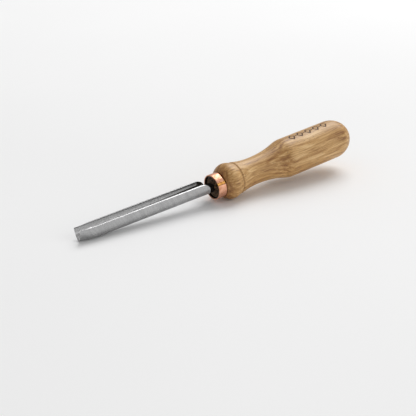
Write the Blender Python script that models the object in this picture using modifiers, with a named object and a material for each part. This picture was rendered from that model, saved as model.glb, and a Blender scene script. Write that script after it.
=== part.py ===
"""A tanged carving gouge, lying at rest on its cutting edge's heel and on the front bead of its handle.

The tool is modelled along its own axis, the tool frame: +X runs from the front of the ferrule to the
butt, +Z is the open side of the channel, and the origin is the centre of the ferrule's front rim.
One empty holds that frame, and lays the finished tool on the floor. Lengths are in metres.
"""

import math

import bmesh
import bpy
from mathutils import Matrix, Vector

MM = 0.001
FIT = 0.3 * MM  # clearance between two pieces that touch

# Blade: a deep U-shaped channel, sharpened from outside
BLADE_LENGTH = 111.0 * MM  # cutting edge to the front of the ferrule
BLADE_WIDTH = 9.8 * MM
BLADE_DEPTH = 10.3 * MM
BLADE_RISE = 2 * MM  # how much further the edge stands above the tool's axis than the root does
ROOT_BOTTOM = -3.4 * MM  # underside of the channel where it meets the ferrule
WALL = 1.2 * MM
EDGE_FLOOR, ROOT_FLOOR = 1.4 * MM, 3.9 * MM  # the channel gets shallower towards the handle
INNER_LIP = 0.9 * MM  # how far down the channel's sides are straight
INNER_POWER, OUTER_POWER = 1.5, 2  # of the superellipses below: 1 is a V, 2 a plain round
BEVEL_LENGTH = 12 * MM
BEVEL_CROWN = 1.3  # 1 is a flat bevel, and more rounds its heel
EDGE = 0.06 * MM  # what is left of the steel's thickness at the cutting edge

# The walls are ground away in a quarter round, down to the black shoulder
WALL_END = -4.5 * MM
WALL_ROUND = 7.5 * MM
SHOULDER_WIDTH = 6.0 * MM
SHOULDER_TOP = 2.4 * MM

TANG_LENGTH = 50 * MM  # behind the ferrule's front rim
TANG_ROOT = 5.6 * MM
TANG_TIP = 2.6 * MM

# Ferrule: rolled copper strip with a brazed seam
FERRULE_RADIUS = 9.45 * MM
FERRULE_WALL = 1.1 * MM
FERRULE_LENGTH = 7 * MM
FERRULE_ROUND = 0.3 * MM
SEAM_ANGLE = math.radians(30)  # above horizontal, on the -Y side
SEAM_WIDTH = 2.4 * MM

# Handle: turned from one piece
HANDLE_END = 131.5 * MM
TENON_FACE = 1.6 * MM  # how far the tenon's end lies inside the ferrule
BEAD_FOOT = FERRULE_RADIUS + 0.35 * MM
BEAD_X, BEAD_RADIUS = 14.8 * MM, 13.5 * MM
SCORE_X, SCORE_RADIUS = 20.8 * MM, 12.3 * MM
SCORE_WIDTH, SCORE_DEPTH = 2.2 * MM, 0.45 * MM
WAIST_X, WAIST_RADIUS = 37.8 * MM, 10.25 * MM
FLARE_X, FLARE_RADIUS, FLARE_SLOPE = 59.3 * MM, 12.75 * MM, 0.245
GRIP_X, GRIP_RADIUS = 69.8 * MM, 15 * MM
BUTT_X = 115 * MM  # where the rounded butt begins
HANDLE_SIDES = 48

# Bore for the tang, and the mouth round it that the bedding fills
MOUTH_RADIUS = 6.0 * MM
MOUTH_DEPTH = 8 * MM
BORE_RADIUS = 3.9 * MM
BORE_END = 54 * MM
BEDDING_PROUD = 0.5 * MM

ARC_STEPS = 18  # faces round half of the blade's section


def clear_scene():
    for obj in list(bpy.data.objects):
        bpy.data.objects.remove(obj, do_unlink=True)


def new_collection(name):
    made = bpy.data.collections.new(name)
    bpy.context.scene.collection.children.link(made)
    return made


def material(name, colour, roughness, metallic):
    made = bpy.data.materials.new(name)
    made.use_nodes = True
    shader = made.node_tree.nodes["Principled BSDF"]
    shader.inputs["Base Color"].default_value = (*colour, 1)
    shader.inputs["Roughness"].default_value = roughness
    shader.inputs["Metallic"].default_value = metallic
    return made


def new_object(name, mesh, collection, parent):
    obj = bpy.data.objects.new(name, mesh)
    collection.objects.link(obj)
    obj.parent = parent
    return obj


def finish(obj, surface, sharp_degrees=35):
    """Gives a part its material and smooth shading with sharp edges."""
    obj.data.materials.append(surface)
    obj.data.shade_smooth()
    obj.data.set_sharp_from_angle(angle=math.radians(sharp_degrees))


def smooth_step(value):
    value = min(max(value, 0), 1)
    return value * value * (3 - 2 * value)


def mix(start, end, share):
    return start + (end - start) * share


# ---------------------------------------------------------------- blade


def half_round(half_width, top, spring, bottom, squareness):
    """An open U in the YZ plane, from the top at -Y round to the top at +Y.

    Its walls are straight down to the height `spring`. Below that it is a superellipse: squareness 2
    is a plain round bottom, and more makes it squarer.
    """
    points = [(-half_width, top)]
    for step in range(ARC_STEPS + 1):
        angle = math.pi * step / ARC_STEPS
        across = math.copysign(abs(math.cos(angle)) ** (2 / squareness), -math.cos(angle))
        down = math.sin(angle) ** (2 / squareness)
        points.append((half_width * across, mix(spring, bottom, down)))
    points.append((half_width, top))
    return points


def channel_section(x):
    """The outer and the inner outline of the channel at x, which is negative."""
    to_edge = BLADE_LENGTH + x
    bottom = ROOT_BOTTOM + BLADE_RISE * -x / BLADE_LENGTH
    top = bottom + BLADE_DEPTH
    floor = mix(EDGE_FLOOR, ROOT_FLOOR, to_edge / BLADE_LENGTH)
    inner_half = BLADE_WIDTH / 2 - WALL

    # How much of the steel's thickness the bevel has left at x, where the outside nears the inside's shape
    ground = min(max(1 - to_edge / BEVEL_LENGTH, 0), 1)
    left = 1 - ground**BEVEL_CROWN
    wall = mix(EDGE, WALL, left)
    lip = mix(INNER_LIP, BLADE_DEPTH - BLADE_WIDTH / 2, left)
    power = mix(INNER_POWER, OUTER_POWER, left)
    outer_bottom = bottom + floor - mix(EDGE, floor, left)

    # The quarter round at the rear, where walls and channel run out into the shoulder
    into_round = min(max((x - WALL_END) / WALL_ROUND + 1, 0), 1)
    wall_top = mix(top, SHOULDER_TOP, 1 - math.sqrt(1 - into_round**2))
    channel_floor = min(mix(bottom + floor, SHOULDER_TOP, smooth_step(into_round)), wall_top)
    inner_lip = min(INNER_LIP, (wall_top - channel_floor) / 4)

    outer = half_round(inner_half + wall, wall_top, min(top - lip, wall_top), outer_bottom, power)
    inner = half_round(inner_half, wall_top, wall_top - inner_lip, channel_floor, INNER_POWER)
    return outer, inner


def bar_section(half_width, top, bottom, squareness):
    """A solid section in the same terms: its inner outline is its flat top."""
    spring = mix(bottom, top, 0.6)
    outer = half_round(half_width, top, spring, bottom, squareness)
    inner = [(y * 0.8, top + 0.1 * half_width) for y, _ in outer]
    return outer, inner


def blade_stations():
    """(x, outer outline, inner outline) from the cutting edge to the end of the tang."""
    bevel = [0, 0.5, 1.5, 3, 4.5, 6, 7.5, 9, 10.5, 12]
    xs = [-BLADE_LENGTH + step * MM for step in bevel]
    xs += [mix(xs[-1], WALL_END - WALL_ROUND, share) for share in (0.25, 0.5, 0.75, 1)]
    round_steps = 8
    for step in range(1, round_steps + 1):
        angle = math.pi / 2 * step / round_steps
        xs.append(WALL_END - WALL_ROUND + WALL_ROUND * math.sin(angle))
    stations = [(x, *channel_section(x)) for x in xs]

    shoulder_bottom = ROOT_BOTTOM + 0.4 * MM
    half = SHOULDER_WIDTH / 2
    stations.append((-3.6 * MM, *bar_section(half + 0.5 * MM, SHOULDER_TOP, shoulder_bottom, 2.6)))
    stations.append((-2.6 * MM, *bar_section(half, SHOULDER_TOP + 0.3 * MM, shoulder_bottom, 4)))
    stations.append((TENON_FACE, *bar_section(half, half * 0.9, -half * 0.9, 4)))
    root, tip = TANG_ROOT / 2, TANG_TIP / 2
    stations.append((TENON_FACE + 1.5 * MM, *bar_section(root, root * 0.9, -root, 5)))
    stations.append((TANG_LENGTH - 6 * MM, *bar_section(tip, tip * 0.9, -tip, 5)))
    stations.append((TANG_LENGTH, *bar_section(tip * 0.4, tip * 0.36, -tip * 0.4, 5)))
    return stations


def make_blade(collection, frame, surface):
    """Steps from station to station, closing the wall between the outer and the inner outline."""
    mesh = bpy.data.meshes.new("blade")
    form = bmesh.new()
    rings = []
    for x, outer, inner in blade_stations():
        outline = outer + inner[::-1]
        rings.append([form.verts.new((x, y, z)) for y, z in outline])
    count = len(rings[0])
    for near, far in zip(rings, rings[1:]):
        for i in range(count):
            j = (i + 1) % count
            form.faces.new((near[i], near[j], far[j], far[i]))
    for ring in (rings[0], rings[-1]):
        for i in range(count // 2 - 1):
            form.faces.new((ring[i], ring[i + 1], ring[count - 2 - i], ring[count - 1 - i]))
    bmesh.ops.recalc_face_normals(form, faces=form.faces)
    form.to_mesh(mesh)
    form.free()
    blade = new_object("blade", mesh, collection, frame)
    finish(blade, surface)
    return blade


# ---------------------------------------------------------------- turned pieces


def turned(name, outline, collection, frame, sides=HANDLE_SIDES):
    """Turns an outline of (x, radius), from the butt end forward, about the tool's axis.

    The outline starts half a side round, so that a flat side faces straight down.
    """
    mesh = bpy.data.meshes.new(name)
    form = bmesh.new()
    side = math.pi / sides
    points = [
        form.verts.new((radius * math.cos(side), radius * math.sin(side), x)) for x, radius in outline
    ]
    closed = outline[0][1] > 0
    for near, far in zip(points, points[1:]):
        form.edges.new((near, far))
    if closed:
        form.edges.new((points[-1], points[0]))
    form.to_mesh(mesh)
    form.free()
    obj = new_object(name, mesh, collection, frame)
    obj.rotation_euler.y = math.pi / 2
    turn = obj.modifiers.new("turn", "SCREW")
    turn.axis = "Z"
    turn.steps = turn.render_steps = sides
    turn.use_merge_vertices = True
    turn.merge_threshold = 0.01 * MM
    turn.use_smooth_shade = True
    return obj


def curve_between(start, end, slope_start, slope_end, steps):
    """Points after `start` up to `end` on a cubic with the given slopes (radius over x)."""
    (x0, r0), (x1, r1) = start, end
    length = x1 - x0
    points = []
    for step in range(1, steps + 1):
        t = step / steps
        radius = (
            r0 * (1 + 2 * t) * (1 - t) ** 2
            + slope_start * length * t * (1 - t) ** 2
            + r1 * t * t * (3 - 2 * t)
            + slope_end * length * t * t * (t - 1)
        )
        points.append((mix(x0, x1, t), radius))
    return points


def handle_outline():
    """(x, radius) from the butt forward over the outside, then back into the bore."""
    foot = FERRULE_LENGTH + FIT
    tenon = FERRULE_RADIUS - FERRULE_WALL - FIT
    outside = [(TENON_FACE, tenon), (foot, tenon), (foot, BEAD_FOOT)]
    outside += curve_between(outside[-1], (BEAD_X, BEAD_RADIUS), 0.95, 0, 8)
    score_front = (SCORE_X - SCORE_WIDTH / 2, SCORE_RADIUS + 0.13 * MM)
    score_back = (SCORE_X + SCORE_WIDTH / 2, SCORE_RADIUS - 0.13 * MM)
    outside += curve_between(outside[-1], score_front, 0, -0.28, 5)
    outside += [(SCORE_X, SCORE_RADIUS - SCORE_DEPTH), score_back]
    outside += curve_between(score_back, (WAIST_X, WAIST_RADIUS), -0.24, 0, 7)
    waist, flare = (WAIST_X, WAIST_RADIUS), (FLARE_X, FLARE_RADIUS)
    outside += curve_between(waist, flare, 0, FLARE_SLOPE, 7)
    outside += curve_between(flare, (GRIP_X, GRIP_RADIUS), FLARE_SLOPE, 0, 6)
    butt_length = HANDLE_END - BUTT_X
    butt_steps = 10
    for step in range(butt_steps + 1):
        angle = math.pi / 2 * step / butt_steps
        x = BUTT_X + butt_length * math.sin(angle)
        outside.append((x, GRIP_RADIUS * math.cos(angle) if step < butt_steps else 0))
    bore = [
        (TENON_FACE, MOUTH_RADIUS),
        (MOUTH_DEPTH, MOUTH_RADIUS),
        (MOUTH_DEPTH, BORE_RADIUS),
        (BORE_END - BORE_RADIUS / 2, BORE_RADIUS),
        (BORE_END, 0),
    ]
    return outside[::-1] + bore


def make_handle(collection, frame, surface):
    handle = turned("handle", handle_outline(), collection, frame)
    finish(handle, surface)
    return handle


def ring_outline():
    """The strip's section, with its outer corners rounded off."""
    outer, inner = FERRULE_RADIUS, FERRULE_RADIUS - FERRULE_WALL
    return [
        (FERRULE_LENGTH, inner),
        (FERRULE_LENGTH, outer - FERRULE_ROUND),
        (FERRULE_LENGTH - FERRULE_ROUND, outer),
        (FERRULE_ROUND, outer),
        (0, outer - FERRULE_ROUND),
        (0, inner),
    ]


def seam_block(name, width, cutters, frame):
    """A block through one side of the ferrule at the seam's angle."""
    mesh = bpy.data.meshes.new(name)
    form = bmesh.new()
    bmesh.ops.create_cube(form, size=1)
    size = Vector((FERRULE_LENGTH * 2, FERRULE_RADIUS, width))
    place = Vector((FERRULE_LENGTH / 2, -FERRULE_RADIUS, 0))
    turn = Matrix.Rotation(-SEAM_ANGLE, 4, "X")
    for vert in form.verts:
        vert.co = turn @ (vert.co * size + place)
    form.to_mesh(mesh)
    form.free()
    block = new_object(name, mesh, cutters, frame)
    block.hide_render = True
    block.display_type = "WIRE"
    return block


def make_ferrule(collection, cutters, frame, copper, brass):
    ring = turned("ferrule", ring_outline(), collection, frame)
    slot = ring.modifiers.new("seam", "BOOLEAN")
    slot.operation = "DIFFERENCE"
    slot.object = seam_block("seam_slot", SEAM_WIDTH + 2 * FIT, cutters, frame)
    finish(ring, copper)

    braze = turned("ferrule_braze", ring_outline(), collection, frame)
    kept = braze.modifiers.new("seam", "BOOLEAN")
    kept.operation = "INTERSECT"
    kept.object = seam_block("seam_strip", SEAM_WIDTH, cutters, frame)
    finish(braze, brass)


def make_bedding(collection, cutters, frame, surface):
    """A collar that fills the mouth of the bore, with the tang's square hole through it."""
    back = MOUTH_DEPTH - FIT
    front = TENON_FACE - BEDDING_PROUD
    outer = MOUTH_RADIUS - FIT
    outline = [(back, 0), (back, outer), (TENON_FACE, outer), (front, outer * 0.8), (front, 0)]
    bedding = turned("tang_bedding", outline, collection, frame, sides=32)

    mesh = bpy.data.meshes.new("tang_passage")
    form = bmesh.new()
    bmesh.ops.create_cube(form, size=1)
    across = SHOULDER_WIDTH + 2 * FIT
    for vert in form.verts:
        vert.co = vert.co * Vector((4 * MOUTH_DEPTH, across, across))
    form.to_mesh(mesh)
    form.free()
    passage = new_object("tang_passage", mesh, cutters, frame)
    passage.hide_render = True
    passage.display_type = "WIRE"
    hole = bedding.modifiers.new("tang hole", "BOOLEAN")
    hole.operation = "DIFFERENCE"
    hole.object = passage
    finish(bedding, surface)


# ---------------------------------------------------------------- resting place


def world_points(obj):
    graph = bpy.context.evaluated_depsgraph_get()
    shape = obj.evaluated_get(graph)
    points = [shape.matrix_world @ vert.co for vert in shape.data.vertices]
    return points


def lowest(obj):
    return min(point.z for point in world_points(obj))


def lay_on_floor(frame, blade, handle, parts):
    """Tilts the tool until blade and bead are equally low, then centres it over the origin."""
    flat, steep = 0.0, math.radians(15)
    for _ in range(30):
        tilt = (flat + steep) / 2
        frame.rotation_euler.y = -tilt
        bpy.context.view_layer.update()
        if lowest(blade) > lowest(handle):
            flat = tilt
        else:
            steep = tilt
    points = [point for part in parts for point in world_points(part)]
    for axis in (0, 1):
        low = min(point[axis] for point in points)
        high = max(point[axis] for point in points)
        frame.location[axis] -= (low + high) / 2
    frame.location.z -= min(point.z for point in points)
    bpy.context.view_layer.update()


def main():
    clear_scene()
    parts = new_collection("carving_gouge")
    cutters = new_collection("cutters")
    frame = new_object("tool_frame", None, parts, None)

    steel = material("ground_steel", (0.55, 0.55, 0.56), 0.3, 1)
    copper = material("copper", (0.85, 0.45, 0.3), 0.25, 1)
    brass = material("brass_filler", (0.8, 0.5, 0.2), 0.35, 1)
    wood = material("oiled_hardwood", (0.5, 0.33, 0.17), 0.5, 0)
    pitch = material("black_bedding", (0.02, 0.016, 0.014), 0.7, 0)

    blade = make_blade(parts, frame, steel)
    handle = make_handle(parts, frame, wood)
    make_ferrule(parts, cutters, frame, copper, brass)
    make_bedding(parts, cutters, frame, pitch)
    bpy.context.view_layer.update()
    lay_on_floor(frame, blade, handle, [obj for obj in parts.objects if obj.type == "MESH"])


main()
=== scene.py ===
"""The looks of the carving gouge: each piece again as a fine surface with its material, and a studio.

The pieces are made in the tool frame, as in part.py: +X runs along the tool from the front of the ferrule
to the butt, +Z is the open side of the channel, and the origin is the centre of the ferrule's front rim.
Lengths are in metres, except in the materials, whose node trees count in millimetres.
"""

import math

import bmesh
import bpy
import numpy as np
from mathutils import Matrix, Vector, noise


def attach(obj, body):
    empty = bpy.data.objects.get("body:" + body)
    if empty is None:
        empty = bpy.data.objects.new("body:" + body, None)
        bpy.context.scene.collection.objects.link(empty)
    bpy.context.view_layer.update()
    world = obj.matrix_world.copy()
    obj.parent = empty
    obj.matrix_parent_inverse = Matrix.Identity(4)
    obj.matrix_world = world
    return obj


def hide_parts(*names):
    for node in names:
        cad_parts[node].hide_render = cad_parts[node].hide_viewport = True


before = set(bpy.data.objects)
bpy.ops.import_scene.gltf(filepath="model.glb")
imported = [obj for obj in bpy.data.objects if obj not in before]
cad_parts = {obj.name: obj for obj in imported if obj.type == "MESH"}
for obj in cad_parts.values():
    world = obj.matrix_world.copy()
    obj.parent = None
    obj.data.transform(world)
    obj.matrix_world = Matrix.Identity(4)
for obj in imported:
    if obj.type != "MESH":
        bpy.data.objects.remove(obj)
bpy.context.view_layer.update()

MM = 0.001
FIT = 0.3 * MM

# Blade, as in part.py, except that the flanks turn in a little higher (OUTER_LIP and OUTER_POWER), the tops
# of the walls slope outwards (LAND_SLOPE), and the edges and the channel's end are rounded (RIM_ROUND)
BLADE_LENGTH = 111.0 * MM
BLADE_WIDTH = 9.8 * MM
BLADE_DEPTH = 10.3 * MM
BLADE_RISE = 2 * MM
ROOT_BOTTOM = -3.4 * MM
WALL = 1.2 * MM
EDGE_FLOOR, ROOT_FLOOR = 1.4 * MM, 3.9 * MM  # the channel gets shallower towards the handle
INNER_LIP = 0.9 * MM  # how far down the channel's sides are straight
OUTER_LIP = 3.5 * MM  # how far down the flanks are straight
INNER_POWER, OUTER_POWER = 1.5, 2.15  # of the superellipses below the lips: 1 is a V, 2 a plain round
LAND_SLOPE = 0.2  # how much the top of each wall falls away outwards
BEVEL_LENGTH = 12 * MM
BEVEL_CROWN = 1.3  # above 1 it bulges
EDGE = 0.06 * MM  # thickness of the wall at the cutting edge
WALL_END = -4.5 * MM
WALL_ROUND = 7.5 * MM
SHOULDER_WIDTH = 6.0 * MM
SHOULDER_TOP = 2.4 * MM
TANG_LENGTH = 50 * MM
TANG_ROOT = 5.6 * MM
TANG_TIP = 2.6 * MM
FLOOR_SHADE_START = 55 * MM  # how far from the ferrule the painted shade on the channel's floor begins to turn black
FLOOR_SHADE_FADE = 45 * MM  # the length that this takes
RIM_ROUND = 0.22 * MM  # the stoned edges of the channel's walls
BAR_START = -2.6 * MM  # where the shoulder has become a square bar
SQUARE_ROUND, TANG_ROUND = 4, 5  # superellipse powers of the forged square bar and of the tang
TANG_FLATNESS = 0.9  # height of a bar's top above its middle, for a half width of 1
RIM_STEPS, WALL_STEPS, ARC_STEPS = 4, 3, 36  # points round a rim, down a straight side, round the bottom

# Ferrule and its seam, as in part.py
FERRULE_RADIUS = 9.45 * MM
FERRULE_WALL = 1.1 * MM
FERRULE_LENGTH = 7 * MM
SEAM_ANGLE = math.radians(30)
SEAM_WIDTH = 2.4 * MM
SEAM_STEP = 0.7 * MM  # how far the strip's two ends miss each other along the tool
STRIP_COLUMNS = 150
ROLLED_EDGE = 0.28 * MM
EDGE_STEPS = 4

# Handle, as in part.py
HANDLE_END = 131.5 * MM
TENON_FACE = 1.6 * MM
BEAD_FOOT = FERRULE_RADIUS + 0.35 * MM
BEAD_X, BEAD_RADIUS = 14.8 * MM, 13.5 * MM
SCORE_X, SCORE_RADIUS = 20.8 * MM, 12.3 * MM
SCORE_WIDTH, SCORE_DEPTH = 2.2 * MM, 0.45 * MM
SCORE_LEAN = 0.13 * MM  # how much higher the score's front lip and lower its back lip is than its middle
FOOT_SLOPE, SCORE_FRONT_SLOPE, SCORE_BACK_SLOPE = 0.95, -0.28, -0.24
WAIST_X, WAIST_RADIUS = 37.8 * MM, 10.25 * MM
FLARE_X, FLARE_RADIUS, FLARE_SLOPE = 59.3 * MM, 12.75 * MM, 0.245
GRIP_X, GRIP_RADIUS = 69.8 * MM, 15 * MM
BUTT_X = 115 * MM
MOUTH_RADIUS = 6.0 * MM
MOUTH_DEPTH = 8 * MM
SMEAR_RADIUS, SMEAR_LIMIT = 7.3 * MM, 7.9 * MM  # of the bedding on the tenon's end
BORE_RADIUS = 3.9 * MM
BORE_END = 54 * MM
CAD_SIDES = 48
TRUE_ROUND = math.cos(math.pi / CAD_SIDES)  # a true round between the flats of part.py's faceted one

# The burned ornament on the grip: lozenges in a row, with a pip between each two
ORNAMENT_START, ORNAMENT_END = 76.6 * MM, 108.2 * MM
ORNAMENT_ANGLE = math.radians(87)  # above horizontal, on the -Y side
LOZENGES = 5
LOZENGE_ALONG, LOZENGE_ACROSS = 3.1 * MM, 3.8 * MM  # half its diagonals
LOZENGE_STROKE = 0.42  # share of the half diagonal that is burned in
PIP_RADIUS = 0.62 * MM
BURN_DEPTH = 0.3 * MM
ORNAMENT_MARGIN = 4 * MM  # of closely spaced rows before and after it

# Wood, in millimetres. The pith of the tree lies beside the handle and leans from it.
PITH_Y, PITH_Z = 40.0, -24.0
PITH_LEAN_Y, PITH_LEAN_Z = 0.05, 0.03
RING_WIDTH = 2.3
DARK_PATCHES = [  # the centre and the radii of each darker place
    # painted shade on the bead's front face, all round it; the entries below are darker figure in the wood
    ((7, 0, 0), (9, 40, 40)),
    ((53, -9, 7), (19, 9, 9)),
    ((62, -12, 2), (9, 9, 8)),
    ((116, -12, 7), (12, 6, 6)),
]

# Camera and floor
VIEW_AZIMUTH = math.radians(-36.1)
VIEW_ELEVATION = math.radians(23.24)
VIEW_ROLL = math.radians(-0.55)
VIEW_DISTANCE = 0.667
VIEW_CENTRE = Vector((-38.7, -35.0, 15.3)) * MM
LENS, SENSOR_WIDTH = 85.1, 36
FLOOR_HALF = 4
FLOOR_DROP = 0.01 * MM

# ---------------------------------------------------------------- shared shapes


def mix(start, end, share):
    return start + (end - start) * share


def smooth_step(value):
    value = min(max(value, 0), 1)
    return value * value * (3 - 2 * value)


def tool_frame():
    """The matrix of the tool frame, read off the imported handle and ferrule."""
    handle, ferrule = (
        np.array([vert.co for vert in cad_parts[name].data.vertices]) for name in ("handle", "ferrule")
    )
    centre = handle.mean(axis=0)
    axis = np.linalg.svd(handle - centre, full_matrices=False)[2][0]
    axis *= np.sign(axis[0])
    origin = Vector(centre + axis * ((ferrule - centre) @ axis).min())
    along = Vector(axis)
    across = Vector((0, 1, 0))
    up = along.cross(across).normalized()
    matrix = Matrix((along, across, up)).transposed().to_4x4()
    matrix.translation = origin
    return matrix


TOOL = tool_frame()


def place(mesh, node, surface, sharp_degrees=40):
    """Puts a mesh, made in the tool frame, where the CAD node of that name is.

    Its materials read "spot", each vertex's place in the tool frame.
    """
    spots = np.array([vert.co for vert in mesh.vertices], np.float32)
    mesh.attributes.new("spot", "FLOAT_VECTOR", "POINT").data.foreach_set("vector", spots.ravel())
    mesh.transform(TOOL)
    mesh.materials.append(surface)
    mesh.shade_smooth()
    mesh.set_sharp_from_angle(angle=math.radians(sharp_degrees))
    piece = bpy.data.objects.new(node + ".fine", mesh)
    bpy.context.scene.collection.objects.link(piece)
    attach(piece, "root")
    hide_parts(node)
    return piece


def skin(name, rings, start_pole=None, end_pole=None, join_ends=False, flat_ends=False):
    """A closed mesh through rings of equally many points.

    A pole is the point that closes the first or the last ring. join_ends makes the last ring meet the
    first instead, and flat_ends closes each with one face.
    """
    points = [tuple(point) for ring in rings for point in ring]
    count = len(rings[0])
    last_ring = len(points) - count
    faces = side_faces(len(rings), count, join_ends)
    for pole, first in ((start_pole, 0), (end_pole, last_ring)):
        if pole is not None:
            points.append(tuple(pole))
            tip = len(points) - 1
            faces += [(tip, first + i, first + (i + 1) % count) for i in range(count)]
    if flat_ends:
        faces += [tuple(range(count)), tuple(range(last_ring, last_ring + count))]
    return mesh_of(name, points, faces)


def side_faces(rows, count, join_ends=False):
    """The faces between rings that are `count` points round."""
    faces = []
    for row in range(rows if join_ends else rows - 1):
        here, there = row * count, (row + 1) % rows * count
        for i in range(count):
            j = (i + 1) % count
            faces.append((here + i, here + j, there + j, there + i))
    return faces


def mesh_of(name, points, faces):
    mesh = bpy.data.meshes.new(name)
    mesh.from_pydata(points, [], faces)
    face_outward(mesh)
    return mesh


def face_outward(mesh):
    form = bmesh.new()
    form.from_mesh(mesh)
    bmesh.ops.recalc_face_normals(form, faces=form.faces)
    form.to_mesh(mesh)
    form.free()


def store(mesh, name, values):
    """Keeps one number a vertex for a material to read."""
    layer = mesh.attributes.new(name, "FLOAT", "POINT")
    layer.data.foreach_set("value", np.array(values, np.float32))


def rough(x, y, z, size, seed=0.0):
    """Smooth noise from -1 to 1, with lumps of about that size."""
    return noise.noise(Vector((x, y, z)) / size + Vector((seed, seed * 1.7, seed * 2.3)))


def around(x, radius, angle):
    """A point on a turned surface. The angle is above horizontal, on the -Y side."""
    return Vector((x, -radius * math.cos(angle), radius * math.sin(angle)))


def spaced(start, end, step):
    """Evenly spaced values from start up to, but not including, end."""
    count = max(1, round((end - start) / step))
    return [mix(start, end, i / count) for i in range(count)]


# ---------------------------------------------------------------- node trees


def add(tree, kind, inputs=(), **settings):
    """Adds a node. An input given as a socket is linked, and any other is set as its value."""
    made = tree.nodes.new(kind)
    for name, value in settings.items():
        setattr(made, name, value)
    for name, value in dict(inputs).items():
        if isinstance(value, bpy.types.NodeSocket):
            tree.links.new(value, made.inputs[name])
        else:
            made.inputs[name].default_value = value
    return made


def calc(tree, operation, first, second=0.0, clamp=False):
    inputs = {0: first, 1: second}
    return add(tree, "ShaderNodeMath", inputs, operation=operation, use_clamp=clamp).outputs[0]


def vector(tree, operation, first, second):
    return add(tree, "ShaderNodeVectorMath", {0: first, 1: second}, operation=operation).outputs[0]


def length(tree, arrow):
    return add(tree, "ShaderNodeVectorMath", {0: arrow}, operation="LENGTH").outputs["Value"]


def millimetres(tree):
    """The place in the tool frame, in millimetres."""
    spot = add(tree, "ShaderNodeAttribute", attribute_name="spot").outputs["Vector"]
    return vector(tree, "MULTIPLY", spot, (1000, 1000, 1000))


def axes(tree, place_in):
    return add(tree, "ShaderNodeSeparateXYZ", {0: place_in}).outputs


def clouds(tree, place_in, scale, detail=3.0, roughness=0.5, colour=False):
    """Noise from 0 to 1. `scale` is how many lumps there are to a millimetre along X, Y and Z."""
    stretched = vector(tree, "MULTIPLY", place_in, scale)
    made = add(
        tree,
        "ShaderNodeTexNoise",
        {"Vector": stretched, "Scale": 1.0, "Detail": detail, "Roughness": roughness},
    )
    return made.outputs["Color" if colour else "Fac"]


def blend_between(tree, value, low, high, start=0.0, end=1.0):
    """`start` where the value is under `low`, `end` over `high`, and smooth in between."""
    inputs = {"Value": value, "From Min": low, "From Max": high, "To Min": start, "To Max": end}
    return add(tree, "ShaderNodeMapRange", inputs, interpolation_type="SMOOTHSTEP").outputs[0]


def ramp(tree, value, stops):
    """A colour from (place, (red, green, blue)) stops."""
    made = add(tree, "ShaderNodeValToRGB", {0: value})
    elements = made.color_ramp.elements
    while len(elements) < len(stops):
        elements.new(0.5)
    for element, (place_in, colour) in zip(elements, stops):
        element.position = place_in
        element.color = (*colour, 1)
    return made.outputs[0]


def tint(tree, share, under, over, blend="MIX"):
    """`under` where the share is 0 and `over`, laid on by that blend, where it is 1."""
    made = add(tree, "ShaderNodeMix", {0: share}, data_type="RGBA", blend_type=blend)
    for index, value in ((6, under), (7, over)):
        if isinstance(value, bpy.types.NodeSocket):
            tree.links.new(value, made.inputs[index])
        else:
            made.inputs[index].default_value = (*value, 1)
    return made.outputs[2]


def stored(tree, name):
    return add(tree, "ShaderNodeAttribute", attribute_name=name).outputs["Fac"]


def new_material(name, **constants):
    """A material with its constant settings on the shader's own sockets."""
    made = bpy.data.materials.new(name)
    made.use_nodes = True
    shader = made.node_tree.nodes["Principled BSDF"]
    for socket, value in constants.items():
        shader.inputs[socket.replace("_", " ")].default_value = value
    return made, made.node_tree, shader


def drive(tree, shader, **links):
    for socket, value in links.items():
        tree.links.new(value, shader.inputs[socket.replace("_", " ")])


def relief(tree, height, depth_mm, strength):
    inputs = {"Height": height, "Distance": depth_mm * MM, "Strength": strength}
    return add(tree, "ShaderNodeBump", inputs).outputs[0]


# ---------------------------------------------------------------- wood


def wood_coordinates(tree, place_in):
    """The place in the wood, bent a little as a tree grows."""
    bend = clouds(tree, place_in, (0.014, 0.045, 0.045), detail=2, colour=True)
    centred = vector(tree, "SUBTRACT", bend, (0.5, 0.5, 0.5))
    return vector(tree, "ADD", place_in, vector(tree, "MULTIPLY", centred, (0, 9, 9)))


def ring_place(tree, bent):
    """How far through a year's growth each place is, from 0 at the start of spring to 1."""
    along, across, up = axes(tree, bent)
    from_pith = []
    for here, pith, lean in ((across, PITH_Y, PITH_LEAN_Y), (up, PITH_Z, PITH_LEAN_Z)):
        straight = calc(tree, "SUBTRACT", here, pith)
        from_pith.append(calc(tree, "SUBTRACT", straight, calc(tree, "MULTIPLY", along, lean)))
    flat = add(tree, "ShaderNodeCombineXYZ", {1: from_pith[0], 2: from_pith[1]}).outputs[0]
    return calc(tree, "FRACT", calc(tree, "DIVIDE", length(tree, flat), RING_WIDTH))


def patch(tree, place_in, centre, radii):
    """1 in the middle of an ellipsoid of darker wood, falling to 0 at its edge."""
    offset = vector(tree, "DIVIDE", vector(tree, "SUBTRACT", place_in, centre), radii)
    return blend_between(tree, length(tree, offset), 0.25, 1.0, 1.0, 0.0)


def wood_tone(tree, layers):
    """The grain's lightness: the sum of (layer, weight), brought to about 0.3 to 0.7."""
    total = -0.43
    for layer, weight in layers:
        total = calc(tree, "ADD", calc(tree, "MULTIPLY", layer, weight), total)
    return calc(tree, "MULTIPLY", total, 0.75)


def wood_pores(tree, bent, spring, broad):
    """1 in the short dark dashes of open pores, which crowd into the spring wood."""
    dashes = vector(tree, "MULTIPLY", bent, (0.24, 1.15, 1.15))
    inputs = {"Vector": dashes, "Scale": 1.0, "Randomness": 1.0}
    cells = add(tree, "ShaderNodeTexVoronoi", inputs).outputs["Distance"]
    crowded = blend_between(tree, broad, 0.45, 0.65, 0.0, 0.5)
    where = calc(tree, "ADD", calc(tree, "MULTIPLY", spring, 0.7), crowded)
    return calc(tree, "MULTIPLY", blend_between(tree, cells, 0.10, 0.30, 1.0, 0.0), where, clamp=True)


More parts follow.
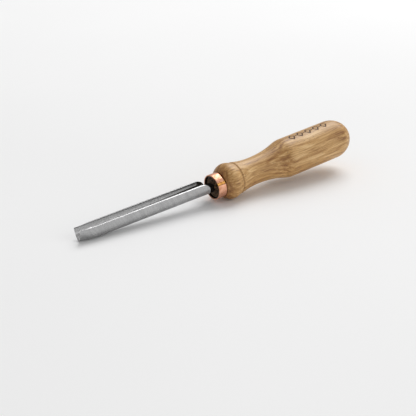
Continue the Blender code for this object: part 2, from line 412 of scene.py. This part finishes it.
def darken_patches(tree, place_in, bent, colour):
    patch_noise = clouds(tree, bent, (0.10, 0.30, 0.30), detail=4, roughness=0.6)
    ragged = blend_between(tree, patch_noise, 0.3, 0.62)
    # the first patch paints shade on the bead's front, the others darken the wood's figure
    for centre, radii in DARK_PATCHES:
        share = calc(tree, "MULTIPLY", patch(tree, place_in, centre, radii), ragged)
        colour = tint(tree, share, colour, (0.64, 0.51, 0.33), "MULTIPLY")
    return colour


def darken_turned_details(tree, place_in, colour):
    """Darkens the end grain and the scored line, and paints shade on the tenon inside the ferrule."""
    normal = add(tree, "ShaderNodeNewGeometry").outputs["Normal"]
    inputs = {0: normal, 1: TOOL.col[0].xyz}
    facing = add(tree, "ShaderNodeVectorMath", inputs, operation="DOT_PRODUCT").outputs["Value"]
    end_grain = blend_between(tree, calc(tree, "ABSOLUTE", facing), 0.35, 0.9)
    colour = tint(tree, calc(tree, "MULTIPLY", end_grain, 0.8), colour, (0.62, 0.46, 0.28), "MULTIPLY")

    along = axes(tree, place_in)[0]
    from_score = calc(tree, "ABSOLUTE", calc(tree, "SUBTRACT", along, SCORE_X / MM))
    score = blend_between(tree, from_score, 0.2, 1.2, 0.5, 0.0)
    colour = tint(tree, score, colour, (0.27, 0.13, 0.04))
    # painted shade: the tenon's end and sides inside the ferrule's mouth turn almost black
    mouth_shade = blend_between(tree, along, 1.0, FERRULE_LENGTH / MM, 0.92, 0.0)
    return tint(tree, mouth_shade, colour, (0.035, 0.020, 0.011))


def oiled_wood():
    material, tree, shader = new_material("oiled_oak", IOR=1.5, Coat_Weight=0.2, Coat_Roughness=0.4)
    place_in = millimetres(tree)
    bent = wood_coordinates(tree, place_in)
    from_spring = calc(tree, "ABSOLUTE", calc(tree, "SUBTRACT", ring_place(tree, bent), 0.2))
    spring = blend_between(tree, from_spring, 0.05, 0.32, 1.0, 0.0)

    streaks = clouds(tree, bent, (0.03, 0.6, 0.6), detail=4, roughness=0.6)
    fibres = clouds(tree, bent, (0.08, 1.7, 1.7), detail=4, roughness=0.62)
    fine = clouds(tree, bent, (0.3, 4.5, 4.5), detail=2)
    broad = clouds(tree, bent, (0.02, 0.11, 0.11), detail=2)
    layers = (streaks, 0.95), (fibres, 0.65), (fine, 0.2), (broad, 0.4), (spring, -0.07)
    colour = ramp(
        tree,
        wood_tone(tree, layers),
        [
            (0.30, (0.26, 0.105, 0.024)),
            (0.43, (0.45, 0.235, 0.066)),
            (0.54, (0.60, 0.350, 0.126)),
            (0.68, (0.78, 0.525, 0.250)),
        ],
    )
    colour = darken_patches(tree, place_in, bent, colour)
    pores = wood_pores(tree, bent, spring, broad)
    colour = tint(tree, calc(tree, "MULTIPLY", pores, 0.8), colour, (0.19, 0.085, 0.025))
    colour = darken_turned_details(tree, place_in, colour)
    burn = stored(tree, "burn")
    colour = tint(tree, calc(tree, "MULTIPLY", burn, 0.96), colour, (0.050, 0.022, 0.010))

    height = calc(tree, "SUBTRACT", calc(tree, "MULTIPLY", fine, 0.6), pores)
    height = calc(tree, "ADD", height, calc(tree, "MULTIPLY", fibres, 0.8))
    dull = calc(tree, "ADD", fibres, calc(tree, "MULTIPLY", burn, 0.9))
    gloss = blend_between(tree, dull, 0.25, 1.0, 0.38, 0.75)
    drive(tree, shader, Base_Color=colour, Roughness=gloss, Normal=relief(tree, height, 0.09, 0.6))
    return material


def cubic(start, end, slope_start, slope_end, x):
    """Radius at x on the cubic between two (x, radius) points with the given slopes."""
    (x0, r0), (x1, r1) = start, end
    span = x1 - x0
    t = (x - x0) / span
    return (
        r0 * (1 + 2 * t) * (1 - t) ** 2
        + slope_start * span * t * (1 - t) ** 2
        + r1 * t * t * (3 - 2 * t)
        + slope_end * span * t * t * (t - 1)
    )


def handle_radius(x):
    """Radius of the handle's outside, from the foot of the bead to the butt."""
    foot = (FERRULE_LENGTH + FIT, BEAD_FOOT)
    bead = (BEAD_X, BEAD_RADIUS)
    score_front = (SCORE_X - SCORE_WIDTH / 2, SCORE_RADIUS + SCORE_LEAN)
    score_back = (SCORE_X + SCORE_WIDTH / 2, SCORE_RADIUS - SCORE_LEAN)
    waist, flare, grip = (WAIST_X, WAIST_RADIUS), (FLARE_X, FLARE_RADIUS), (GRIP_X, GRIP_RADIUS)
    if x < bead[0]:
        return cubic(foot, bead, FOOT_SLOPE, 0, x)
    if x < score_front[0]:
        return cubic(bead, score_front, 0, SCORE_FRONT_SLOPE, x)
    if x < score_back[0]:
        across = abs(x - SCORE_X) / (SCORE_WIDTH / 2)
        lip = mix(score_front[1], score_back[1], (x - score_front[0]) / SCORE_WIDTH)
        return lip - SCORE_DEPTH * (1 - across**2) ** 2
    if x < waist[0]:
        return cubic(score_back, waist, SCORE_BACK_SLOPE, 0, x)
    if x < flare[0]:
        return cubic(waist, flare, 0, FLARE_SLOPE, x)
    if x < grip[0]:
        return cubic(flare, grip, FLARE_SLOPE, 0, x)
    if x < BUTT_X:
        return GRIP_RADIUS
    return GRIP_RADIUS * math.sqrt(max(0, 1 - ((x - BUTT_X) / (HANDLE_END - BUTT_X)) ** 2))


def burned(x, angle):
    """How deep the ornament is burned at a place on the grip, from 0 to 1."""
    across = (angle - ORNAMENT_ANGLE) * GRIP_RADIUS
    pitch = (ORNAMENT_END - ORNAMENT_START) / (LOZENGES - 1)
    nearest = min(max(round((x - ORNAMENT_START) / pitch), 0), LOZENGES - 1)
    along = x - ORNAMENT_START - nearest * pitch
    reach = abs(along) / LOZENGE_ALONG + abs(across) / LOZENGE_ACROSS
    from_stroke = abs(reach - 1 + LOZENGE_STROKE / 2) / (LOZENGE_STROKE / 2)
    stroke = smooth_step((1.25 - from_stroke) / 0.5)  # its sides slope
    gap = min(max(math.floor((x - ORNAMENT_START) / pitch), 0), LOZENGES - 2)
    from_pip = math.hypot(x - ORNAMENT_START - (gap + 0.5) * pitch, across)
    pip = smooth_step((PIP_RADIUS * 1.3 - from_pip) / (PIP_RADIUS * 0.6))
    return max(stroke, pip)


def handle_rows():
    """Places along the handle, closer together where the shape is small."""
    score_start, score_end = SCORE_X - SCORE_WIDTH, SCORE_X + SCORE_WIDTH
    ornament = ORNAMENT_START - ORNAMENT_MARGIN, ORNAMENT_END + ORNAMENT_MARGIN
    rows = spaced(FERRULE_LENGTH + FIT, score_start, 0.45 * MM)
    rows += spaced(score_start, score_end, 0.11 * MM)
    rows += spaced(score_end, ornament[0], 0.8 * MM)
    rows += spaced(ornament[0], ornament[1], 0.24 * MM)
    rows += spaced(ornament[1], BUTT_X, 0.8 * MM)
    butt_steps = 26
    for step in range(butt_steps):
        rows.append(mix(BUTT_X, HANDLE_END, math.sin(math.pi / 2 * step / butt_steps)))
    return rows


def handle_columns():
    """Angles round the handle, closer together across the ornament."""
    half = (LOZENGE_ACROSS + 0.8 * MM) / GRIP_RADIUS
    start, end = ORNAMENT_ANGLE - half, ORNAMENT_ANGLE + half
    dense = spaced(start, end, 0.24 * MM / GRIP_RADIUS)
    return dense + spaced(end, start + 2 * math.pi, 0.62 * MM / GRIP_RADIUS)


def make_handle():
    """Turns the handle's outline, front to butt, and then its bore."""
    angles = handle_columns()
    tenon = FERRULE_RADIUS - FERRULE_WALL - FIT
    rings, burns = [], []

    def plain_ring(x, radius):
        rings.append([around(x, radius * TRUE_ROUND, angle) for angle in angles])
        burns.extend([0.0] * len(angles))

    for x, radius in (
        (BORE_END - BORE_RADIUS / 2, BORE_RADIUS),
        (MOUTH_DEPTH, BORE_RADIUS),
        (MOUTH_DEPTH, MOUTH_RADIUS),
        (TENON_FACE, MOUTH_RADIUS),
        (TENON_FACE, tenon - 0.2 * MM),
        (TENON_FACE + 0.2 * MM, tenon),
        (FERRULE_LENGTH + FIT, tenon),
    ):
        plain_ring(x, radius)
    for x in handle_rows():
        radius = handle_radius(x) * TRUE_ROUND
        ring = []
        for angle in angles:
            flat = around(x, radius, angle)
            worn = 0.04 * MM * abs(rough(flat.x / 4, flat.y, flat.z, 4 * MM))
            on_grip = ORNAMENT_START - ORNAMENT_MARGIN < x < ORNAMENT_END + ORNAMENT_MARGIN
            burn = burned(x, angle) if on_grip else 0.0
            burns.append(burn)
            ring.append(around(x, radius - worn - BURN_DEPTH * burn, angle))
        rings.append(ring)
    mesh = skin("handle", rings, start_pole=(BORE_END, 0, 0), end_pole=(HANDLE_END, 0, 0))
    store(mesh, "burn", burns + [0.0, 0.0])
    return place(mesh, "handle", oiled_wood())


# ---------------------------------------------------------------- blade


def ground_steel():
    """Bright steel with fine marks across it, and black forge scale where it was never ground."""
    material, tree, shader = new_material("ground_steel", Metallic=1.0)
    place_in = millimetres(tree)
    along, across, up = axes(tree, place_in)
    leaned = add(
        tree,
        "ShaderNodeCombineXYZ",
        {0: calc(tree, "ADD", along, calc(tree, "MULTIPLY", up, 0.35)), 1: across, 2: up},
    ).outputs[0]
    marks = clouds(tree, leaned, (5.5, 0.25, 0.25), detail=3, roughness=0.6)
    broad = clouds(tree, leaned, (0.35, 0.05, 0.05), detail=2)
    grey = calc(tree, "ADD", calc(tree, "MULTIPLY", marks, 0.6), calc(tree, "MULTIPLY", broad, 0.4))
    bright = ramp(tree, grey, [(0.3, (0.36, 0.36, 0.363)), (0.7, (0.54, 0.54, 0.54))])
    # painted light: a lighter copy of the steel for the channel's walls
    painted_light_steel = ramp(tree, grey, [(0.3, (0.70, 0.70, 0.70)), (0.7, (0.86, 0.86, 0.86))])
    bright = tint(tree, stored(tree, "channel"), bright, painted_light_steel)

    scale = stored(tree, "scale")
    crust = clouds(tree, place_in, (0.9, 0.9, 0.9), detail=4, roughness=0.65)
    edge = calc(tree, "ADD", scale, calc(tree, "MULTIPLY", calc(tree, "SUBTRACT", crust, 0.5), 0.3))
    black = blend_between(tree, edge, 0.2, 0.8)
    dark = ramp(tree, crust, [(0.3, (0.010, 0.009, 0.008)), (0.7, (0.05, 0.04, 0.032))])
    colour = tint(tree, black, bright, dark)

    polish = blend_between(tree, marks, 0.2, 0.8, 0.22, 0.38)
    gloss = calc(tree, "ADD", polish, calc(tree, "MULTIPLY", black, 0.35))
    height = calc(tree, "ADD", marks, calc(tree, "MULTIPLY", calc(tree, "MULTIPLY", crust, black), 6))
    drive(tree, shader, Base_Color=colour, Roughness=gloss, Normal=relief(tree, height, 0.006, 0.5))
    return material


def half_round(half_width, top, spring, bottom, squareness, rim):
    """An open U in the YZ plane, from the top at -Y round to the top at +Y.

    A positive rim rounds its top corners inwards, as on the outside of a channel, and a negative one
    outwards, as on the inside.
    """
    depth = abs(rim)
    left = []
    for step in range(RIM_STEPS + 1):
        angle = math.pi / 2 * step / RIM_STEPS
        left.append((-half_width + rim * (1 - math.sin(angle)), top - depth * (1 - math.cos(angle))))
    for step in range(1, WALL_STEPS):
        left.append((-half_width, mix(top - depth, min(spring, top - depth), step / WALL_STEPS)))
    points = list(left)
    for step in range(ARC_STEPS + 1):
        angle = math.pi * step / ARC_STEPS
        across = math.copysign(abs(math.cos(angle)) ** (2 / squareness), -math.cos(angle))
        down = math.sin(angle) ** (2 / squareness)
        points.append((half_width * across, mix(min(spring, top - depth), bottom, down)))
    return points + [(-y, z) for y, z in reversed(left)]


def channel_section(x):
    """The outer and the inner outline of the channel at x, which is negative."""
    from_edge = BLADE_LENGTH + x
    bottom = ROOT_BOTTOM + BLADE_RISE * -x / BLADE_LENGTH
    top = bottom + BLADE_DEPTH
    floor = mix(EDGE_FLOOR, ROOT_FLOOR, from_edge / BLADE_LENGTH)
    inner_half = BLADE_WIDTH / 2 - WALL

    ground = min(max(1 - from_edge / BEVEL_LENGTH, 0), 1)
    left = 1 - ground**BEVEL_CROWN  # share of the wall that the bevel has left
    wall = mix(EDGE, WALL, left)
    lip = mix(INNER_LIP, OUTER_LIP, left)
    power = mix(INNER_POWER, OUTER_POWER, left)
    outer_bottom = bottom + floor - mix(EDGE, floor, left)

    into_round = min(max((x - WALL_END) / WALL_ROUND + 1, 0), 1)
    wall_top = mix(top, SHOULDER_TOP, 1 - math.sqrt(1 - into_round**2))
    rim = min(RIM_ROUND, wall * 0.4)
    channel_floor = min(mix(bottom + floor, SHOULDER_TOP, smooth_step(into_round)), wall_top - 3 * rim)

    outer_top = wall_top - LAND_SLOPE * wall
    inner_lip = min(INNER_LIP, (wall_top - channel_floor) / 4)
    spring = min(top - lip, outer_top)
    outer = half_round(inner_half + wall, outer_top, spring, outer_bottom, power, rim)
    inner = half_round(inner_half, wall_top, wall_top - inner_lip, channel_floor, INNER_POWER, -rim)
    return outer, inner


def bar_section(half_width, top, bottom, squareness):
    """A solid section in the same terms: its inner outline is its top, narrower and barely crowned."""
    spring = mix(bottom, top, 0.6)
    rim = 0.12 * half_width
    crown = 0.02 * half_width
    outer = half_round(half_width, top, spring, bottom, squareness, rim)
    inner = [(y * 0.8, top + crown) for y, _ in outer]
    return outer, inner


def blade_stations():
    """(x, outer outline, inner outline) from the cutting edge to the end of the tang."""
    xs = spaced(-BLADE_LENGTH, -BLADE_LENGTH + BEVEL_LENGTH, 0.5 * MM)
    xs += spaced(-BLADE_LENGTH + BEVEL_LENGTH, WALL_END - WALL_ROUND, 1.5 * MM)
    round_steps = 20
    for step in range(round_steps + 1):
        xs.append(WALL_END - WALL_ROUND + WALL_ROUND * math.sin(math.pi / 2 * step / round_steps))
    stations = [(x, *channel_section(x)) for x in xs]

    half = SHOULDER_WIDTH / 2
    bar_top, bar_bottom = SHOULDER_TOP + 0.3 * MM, ROOT_BOTTOM + 0.4 * MM
    stations += [
        (-4.0 * MM, *bar_section(half + 0.9 * MM, SHOULDER_TOP, bar_bottom - 0.2 * MM, 2.2)),
        (-3.6 * MM, *bar_section(half + 0.5 * MM, SHOULDER_TOP, bar_bottom, 2.6)),
        (-3.1 * MM, *bar_section(half + 0.2 * MM, SHOULDER_TOP + 0.1 * MM, bar_bottom, 3.2)),
        (BAR_START, *bar_section(half, bar_top, bar_bottom, SQUARE_ROUND)),
    ]
    for x in [*spaced(BAR_START + 0.5 * MM, TENON_FACE, 0.5 * MM), TENON_FACE]:
        share = (x - BAR_START) / (TENON_FACE - BAR_START)
        top = mix(bar_top, half * TANG_FLATNESS, share)
        bottom = mix(bar_bottom, -half * TANG_FLATNESS, share)
        stations.append((x, *bar_section(half, top, bottom, SQUARE_ROUND)))
    root, tip = TANG_ROOT / 2, TANG_TIP / 2
    end = tip * 0.4
    for x, tang_half in ((TENON_FACE + 1.5 * MM, root), (TANG_LENGTH - 6 * MM, tip), (TANG_LENGTH, end)):
        stations.append((x, *bar_section(tang_half, tang_half * TANG_FLATNESS, -tang_half, TANG_ROUND)))
    return stations


def forged(x, y, z):
    """A place on the blade, moved a little where the steel is as the hammer and the wheel left it."""
    hammered = smooth_step((x - WALL_END) / MM)
    lump = 0.16 * MM * hammered * rough(x, y, z, 1.6 * MM, 3)
    wave = 0.004 * MM * rough(x / 3, y, z, 4 * MM, 7)
    half_bar = SHOULDER_WIDTH / 2
    return (x, y * (1 + (lump + wave) / half_bar), z + lump * 0.6)


def scaled(x, inside):
    """How black the steel is at x: fully behind the channel, and sooner inside the channel than outside."""
    reach, fade = (11 * MM, 9 * MM) if inside else (0.2 * MM, 0.8 * MM)
    return smooth_step((x - WALL_END + reach) / fade)


def channel_looks(x, inner):
    """How much painted light and how black each point of the channel's outline is.

    The walls get painted light, a lighter steel, more so towards the edge. The floor gets painted shade,
    and black towards the handle.
    """
    lip_points = RIM_STEPS + WALL_STEPS
    heights = [z for _, z in inner[lip_points:-lip_points]]
    low = min(heights)
    rise = max(max(heights) - low, FIT)  # the bar behind the channel is flat on top
    to_edge = min(max(-x / BLADE_LENGTH, 0), 1)
    most = mix(0.45, 1.0, to_edge)
    floor_height = mix(0.70, 0.48, to_edge)  # share of the arc's height that counts as floor
    # painted shade on the channel's floor, darker towards the handle
    painted_floor_shade = mix(0.45, 0.72, smooth_step((x + FLOOR_SHADE_START) / FLOOR_SHADE_FADE))
    wall_black = scaled(x, True)
    painted_lights, blacks = [], []
    for z in heights:
        deep = 1 - smooth_step(((z - low) / rise - floor_height) / 0.12)
        painted_lights.append(most * (1 - deep))
        blacks.append(max(wall_black, painted_floor_shade * deep))
    plain, black = [0.0] * lip_points, [wall_black] * lip_points
    return plain + painted_lights + plain, black + blacks + black


def make_blade():
    """Steps from station to station, closing the wall between the outer and the inner outline."""
    rings, scales, channel = [], [], []
    for x, outer, inner in blade_stations():
        outline = outer + inner[::-1]
        rings.append([forged(x, y, z) for y, z in outline])
        painted_lights, blacks = channel_looks(x, inner)
        scales += [scaled(x, False)] * len(outer) + blacks[::-1]
        channel += [0.0] * len(outer) + painted_lights[::-1]
    count = len(rings[0])
    faces = side_faces(len(rings), count)
    for first in (0, (len(rings) - 1) * count):
        for i in range(count // 2 - 1):
            faces.append((first + i, first + i + 1, first + count - 2 - i, first + count - 1 - i))
    mesh = mesh_of("blade", [point for ring in rings for point in ring], faces)
    store(mesh, "scale", scales)
    store(mesh, "channel", channel)
    return place(mesh, "blade", ground_steel(), sharp_degrees=30)


# ---------------------------------------------------------------- ferrule


def copper():
    material, tree, shader = new_material("copper", Metallic=1.0)
    place_in = millimetres(tree)
    drawn = clouds(tree, place_in, (5.0, 0.3, 0.3), detail=3, roughness=0.6)
    tarnish = clouds(tree, place_in, (0.35, 0.35, 0.35), detail=4, roughness=0.6)
    clean = ramp(tree, drawn, [(0.3, (0.72, 0.345, 0.21)), (0.7, (0.86, 0.50, 0.35))])
    colour = tint(tree, blend_between(tree, tarnish, 0.45, 0.65, 0.0, 0.6), clean, (0.50, 0.20, 0.09))
    # painted shade: the inside of the ring is almost black
    colour = tint(tree, stored(tree, "inside"), colour, (0.045, 0.024, 0.014))
    gloss = blend_between(tree, tarnish, 0.3, 0.7, 0.34, 0.5)
    drive(tree, shader, Base_Color=colour, Roughness=gloss, Normal=relief(tree, drawn, 0.012, 0.5))
    return material


def brazing():
    material, tree, shader = new_material("brazing_brass", Metallic=1.0)
    place_in = millimetres(tree)
    flow = clouds(tree, place_in, (0.9, 1.2, 1.2), detail=4, roughness=0.6)
    dark, golden, bright = (0.36, 0.15, 0.05), (0.62, 0.30, 0.08), (0.76, 0.41, 0.13)
    colour = ramp(tree, flow, [(0.3, dark), (0.5, golden), (0.7, bright)])
    gloss = blend_between(tree, flow, 0.3, 0.7, 0.42, 0.28)
    drive(tree, shader, Base_Color=colour, Roughness=gloss, Normal=relief(tree, flow, 0.08, 0.6))
    return material


def strip_outline(front, rear, inner, outer):
    """The strip's section as (x, radius), from its rear edge forward along the outside and back inside."""
    outline = [(rear, inner)]
    for step in range(EDGE_STEPS + 1):
        turn = math.pi / 2 * step / EDGE_STEPS
        x = rear - ROLLED_EDGE * (1 - math.cos(turn))
        outline.append((x, outer - ROLLED_EDGE * (1 - math.sin(turn))))
    middle = 7
    for step in range(1, middle):
        outline.append((mix(rear - ROLLED_EDGE, front + ROLLED_EDGE, step / middle), outer))
    for step in range(EDGE_STEPS + 1):
        turn = math.pi / 2 * step / EDGE_STEPS
        x = front + ROLLED_EDGE * (1 - math.sin(turn))
        outline.append((x, outer - ROLLED_EDGE * (1 - math.cos(turn))))
    return outline + [(front + 0.1 * MM, inner + 0.15 * MM), (front + 0.25 * MM, inner)]


def make_ferrule():
    """A strip of copper rolled into a ring, from the seam's lower edge underneath to its upper edge."""
    half_seam = SEAM_WIDTH / 2 / FERRULE_RADIUS
    start, end = SEAM_ANGLE - half_seam, SEAM_ANGLE + half_seam - 2 * math.pi
    inner = FERRULE_RADIUS - FERRULE_WALL
    rings = []
    for column in range(STRIP_COLUMNS + 1):
        share = column / STRIP_COLUMNS
        angle = mix(start, end, share)
        rear = FERRULE_LENGTH - SEAM_STEP * smooth_step(share)
        front = 0.06 * MM * (1 + rough(math.cos(angle), math.sin(angle), 0, 0.6, 5))
        lift = 0.06 * MM * rough(math.cos(angle), math.sin(angle), 0, 0.5, 11)
        outer = (FERRULE_RADIUS - 0.05 * MM) * TRUE_ROUND + lift
        outline = strip_outline(front, rear, inner, outer)
        rings.append([around(x, radius, angle) for x, radius in outline])
    mesh = skin("ferrule", rings, flat_ends=True)
    # marks the inside of the ring for its painted shade
    bore = FERRULE_RADIUS - FERRULE_WALL + 0.2 * MM
    store(mesh, "inside", [float(math.hypot(vert.co.y, vert.co.z) < bore) for vert in mesh.vertices])
    return place(mesh, "ferrule", copper())


def make_braze():
    """The brass that ran into the seam: crowned, a little lumpy, and drawn in along its lower edge."""
    half = SEAM_WIDTH / 2
    inner = FERRULE_RADIUS - FERRULE_WALL
    surface = FERRULE_RADIUS * TRUE_ROUND - 0.2 * MM
    columns, steps = 16, 28
    rings = []
    for row in range(steps + 1):
        x = mix(0.12 * MM, FERRULE_LENGTH - SEAM_STEP * 0.7, row / steps)
        wander = 0.12 * MM * rough(x, 0, 0, 1.1 * MM, 2)
        ring = []
        for column in range(columns + 1):
            share = column / columns
            across = mix(-half + 0.22 * MM + wander, half + 0.1 * MM, share)
            crown = 0.16 * MM * (1 - (2 * share - 1) ** 4)
            lump = 0.05 * MM * rough(x, across, 0, 0.9 * MM, 9)
            ring.append(around(x, surface + crown + lump, SEAM_ANGLE + across / FERRULE_RADIUS))
        ring.append(around(x, inner, SEAM_ANGLE + half / FERRULE_RADIUS))
        ring.append(around(x, inner, SEAM_ANGLE - half / FERRULE_RADIUS))
        rings.append(ring)
    mesh = skin("ferrule_braze", rings, flat_ends=True)
    return place(mesh, "ferrule_braze", brazing())


# ---------------------------------------------------------------- bedding


def black_bedding():
    material, tree, shader = new_material("black_bedding", Specular_IOR_Level=0.25)
    place_in = millimetres(tree)
    lumps = clouds(tree, place_in, (0.85, 0.85, 0.85), detail=5, roughness=0.65)
    # mostly painted shade: near black where the mouth lies in shade, with brown and lighter patches of the
    # bedding itself
    dark, brown, worn = (0.006, 0.004, 0.003), (0.050, 0.026, 0.012), (0.19, 0.105, 0.045)
    colour = ramp(tree, lumps, [(0.38, dark), (0.50, brown), (0.62, worn)])
    gloss = blend_between(tree, lumps, 0.3, 0.7, 0.55, 0.9)
    drive(tree, shader, Base_Color=colour, Roughness=gloss, Normal=relief(tree, lumps, 0.35, 0.8))
    return material


def make_bedding():
    """A collar in the mouth of the bore, smeared out over the tenon's end, with the tang through it."""
    # its near-black colour is mostly painted shade in the ferrule's mouth
    columns, across_steps = 96, 12
    half = SHOULDER_WIDTH / 2 + FIT / 2
    rise = 0.45 * MM
    back, face = MOUTH_DEPTH - FIT, TENON_FACE + 0.01 * MM
    rings = []
    for column in range(columns):
        angle = 2 * math.pi * column / columns
        cosine, sine = abs(math.cos(angle)), abs(math.sin(angle))
        hole = half / (cosine**SQUARE_ROUND + (sine / 0.92) ** SQUARE_ROUND) ** (1 / SQUARE_ROUND)
        smear = SMEAR_RADIUS + 0.9 * MM * rough(math.cos(angle), math.sin(angle), 0, 0.7, 4)
        smear = min(max(smear, MOUTH_RADIUS - FIT), SMEAR_LIMIT)
        outline = [(back, hole)]
        for step in range(across_steps + 1):
            share = step / across_steps
            radius = mix(hole, smear, share)
            spot = around(0, radius, angle)
            climb = 2 * rise * (1 - share) ** 3
            lump = rise * rough(spot.y, spot.z, 0, 1.5 * MM, 6)
            proud = rise * (1 - share**3) + climb + lump * (1 - share)
            outline.append((TENON_FACE - 0.03 * MM - max(proud, 0), radius))
        outline += [(face, smear), (face, MOUTH_RADIUS - FIT), (back, MOUTH_RADIUS - FIT)]
        rings.append([around(x, radius, angle) for x, radius in outline])
    mesh = skin("tang_bedding", rings, join_ends=True)
    return place(mesh, "tang_bedding", black_bedding())


# ---------------------------------------------------------------- studio


def make_floor():
    material, tree, shader = new_material("pale_floor", Roughness=0.9, Specular_IOR_Level=0.1)
    place_in = add(tree, "ShaderNodeTexCoord").outputs["Object"]
    grain = clouds(tree, place_in, (2, 2, 2), detail=2)
    colour = ramp(tree, grain, [(0.3, (0.90, 0.90, 0.90)), (0.7, (0.93, 0.93, 0.93))])
    drive(tree, shader, Base_Color=colour)
    mesh = bpy.data.meshes.new("floor")
    form = bmesh.new()
    bmesh.ops.create_grid(form, x_segments=1, y_segments=1, size=FLOOR_HALF)
    form.to_mesh(mesh)
    form.free()
    mesh.materials.append(material)
    floor = bpy.data.objects.new("floor", mesh)
    bpy.context.scene.collection.objects.link(floor)
    floor.location.z = -FLOOR_DROP


def soft_light(name, azimuth, elevation, distance, size, power):
    """A square area light, placed like the camera by its angles in degrees round the object."""
    lamp = bpy.data.lights.new(name, "AREA")
    lamp.shape = "SQUARE"
    lamp.size = size
    lamp.energy = power
    light = bpy.data.objects.new(name, lamp)
    bpy.context.scene.collection.objects.link(light)
    back = stand_off(math.radians(azimuth), math.radians(elevation))
    light.location = back * distance
    light.rotation_euler = (-back).to_track_quat("-Z", "Y").to_euler()


def stand_off(azimuth, elevation):
    """The direction from the object to a viewer or a light, which at azimuth 0 faces along +Y."""
    flat = math.cos(elevation)
    return Vector((math.sin(azimuth) * flat, -math.cos(azimuth) * flat, math.sin(elevation)))


def make_world(strength):
    world = bpy.data.worlds.new("studio")
    world.use_nodes = True
    background = world.node_tree.nodes["Background"]
    background.inputs["Color"].default_value = (1, 1, 1, 1)
    background.inputs["Strength"].default_value = strength
    bpy.context.scene.world = world


def make_camera():
    camera = bpy.data.objects.new("camera", bpy.data.cameras.new("camera"))
    bpy.context.scene.collection.objects.link(camera)
    back = stand_off(VIEW_AZIMUTH, VIEW_ELEVATION)
    camera.data.lens = LENS
    camera.data.sensor_width = SENSOR_WIDTH
    camera.location = VIEW_CENTRE + back * VIEW_DISTANCE
    aim = (-back).to_track_quat("-Z", "Y").to_matrix().to_4x4() @ Matrix.Rotation(VIEW_ROLL, 4, "Z")
    camera.rotation_euler = aim.to_euler()
    camera.data.clip_start, camera.data.clip_end = 0.01, 20
    bpy.context.scene.camera = camera


make_handle()
make_blade()
make_ferrule()
make_braze()
make_bedding()
make_floor()
make_camera()
make_world(0.43)
soft_light("key", azimuth=116, elevation=50, distance=4.0, size=2.8, power=112)
soft_light("front", azimuth=33, elevation=23, distance=2.4, size=2.0, power=11)
bpy.context.scene.view_settings.view_transform = "Standard"
